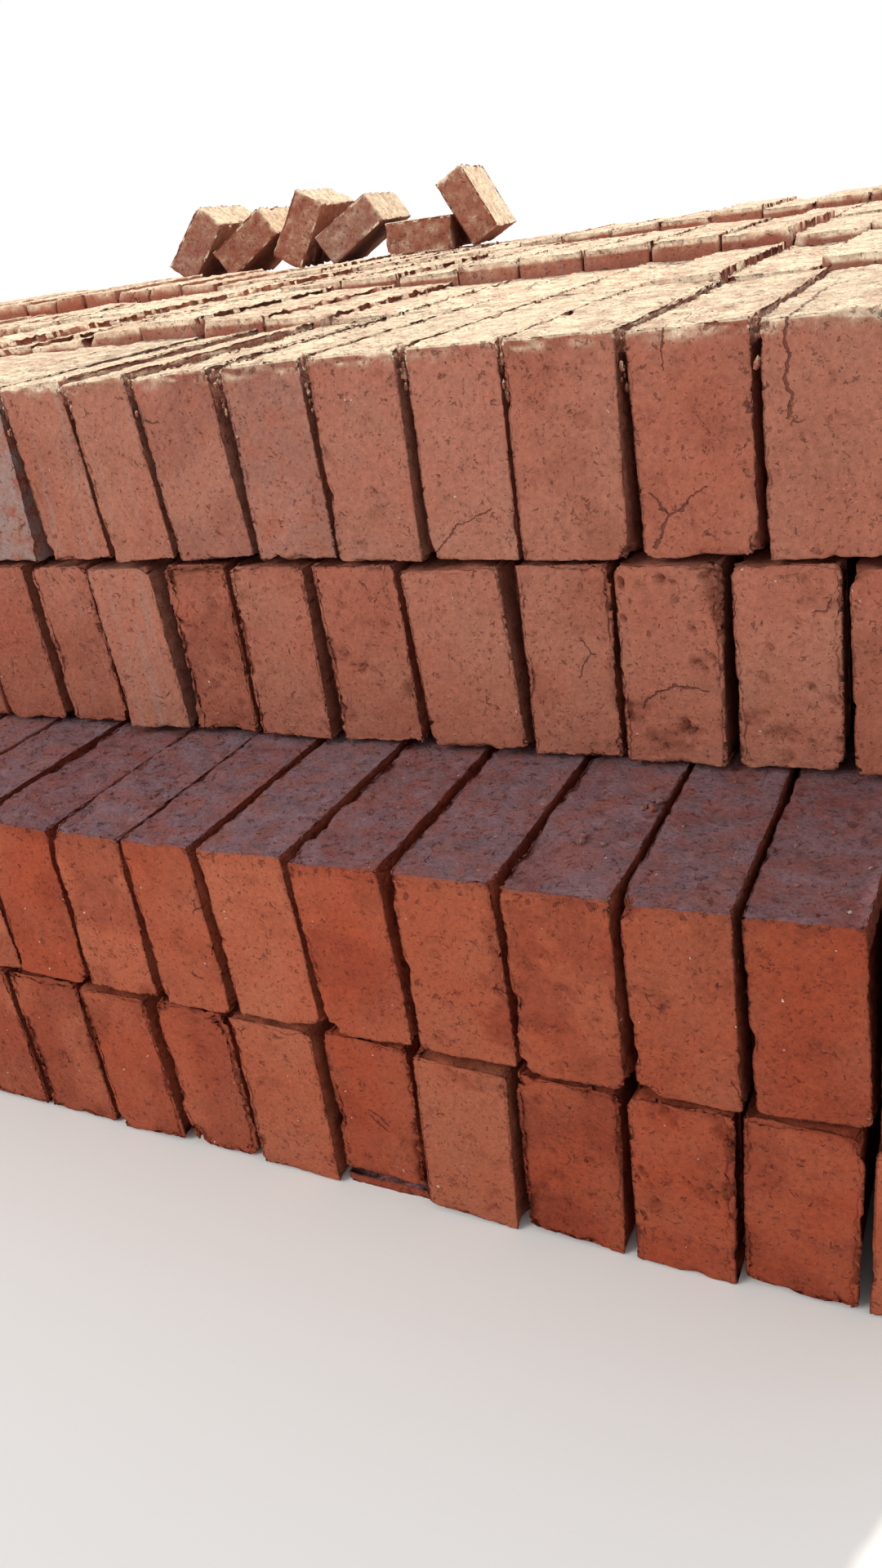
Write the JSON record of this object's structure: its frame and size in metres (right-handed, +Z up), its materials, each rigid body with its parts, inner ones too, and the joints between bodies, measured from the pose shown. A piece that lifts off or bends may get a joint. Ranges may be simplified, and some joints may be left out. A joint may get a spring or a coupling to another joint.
{
  "type": "stack of bricks",
  "caption": "Dry stack of handmade fired bricks on edge in four courses, the upper two set back to leave a ledge, with a few loose bricks on top.",
  "frame": {"origin": "centre of the stack's bounding box at the level that it stands on", "axes": "+X along the stack's length, +Y from its front (the ledge side) to its back, +Z up"},
  "size_m": [2.7128, 2.2848, 0.7265],
  "materials": {
    "lower_brick": "fired red clay, rough and sandy, with pits and dust",
    "upper_brick": "fired red clay, paler and dustier, rough and sandy",
    "core_brick": "fired red clay, plain, hidden inside the stack"
  },
  "bodies": {
    "root": {"course_1_back_row": "lower_brick", "course_1_core": "core_brick", "course_1_front_row": "lower_brick", "course_1_left_end": "lower_brick", "course_1_right_end": "lower_brick", "course_2_back_row": "lower_brick", "course_2_core": "core_brick", "course_2_front_row": "lower_brick", "course_2_left_end": "lower_brick", "course_2_right_end": "lower_brick", "course_3_back_row": "upper_brick", "course_3_core": "core_brick", "course_3_front_row": "upper_brick", "course_3_left_end": "upper_brick", "course_3_right_end": "upper_brick", "course_4_back_row": "upper_brick", "course_4_front_row": "upper_brick", "course_4_row_2": "upper_brick", "course_4_row_3": "upper_brick", "course_4_row_4": "upper_brick", "course_4_row_5": "upper_brick", "course_4_row_6": "upper_brick", "loose_bricks": "upper_brick", "snapped_slice": "lower_brick"}
  },
  "joints": []
}
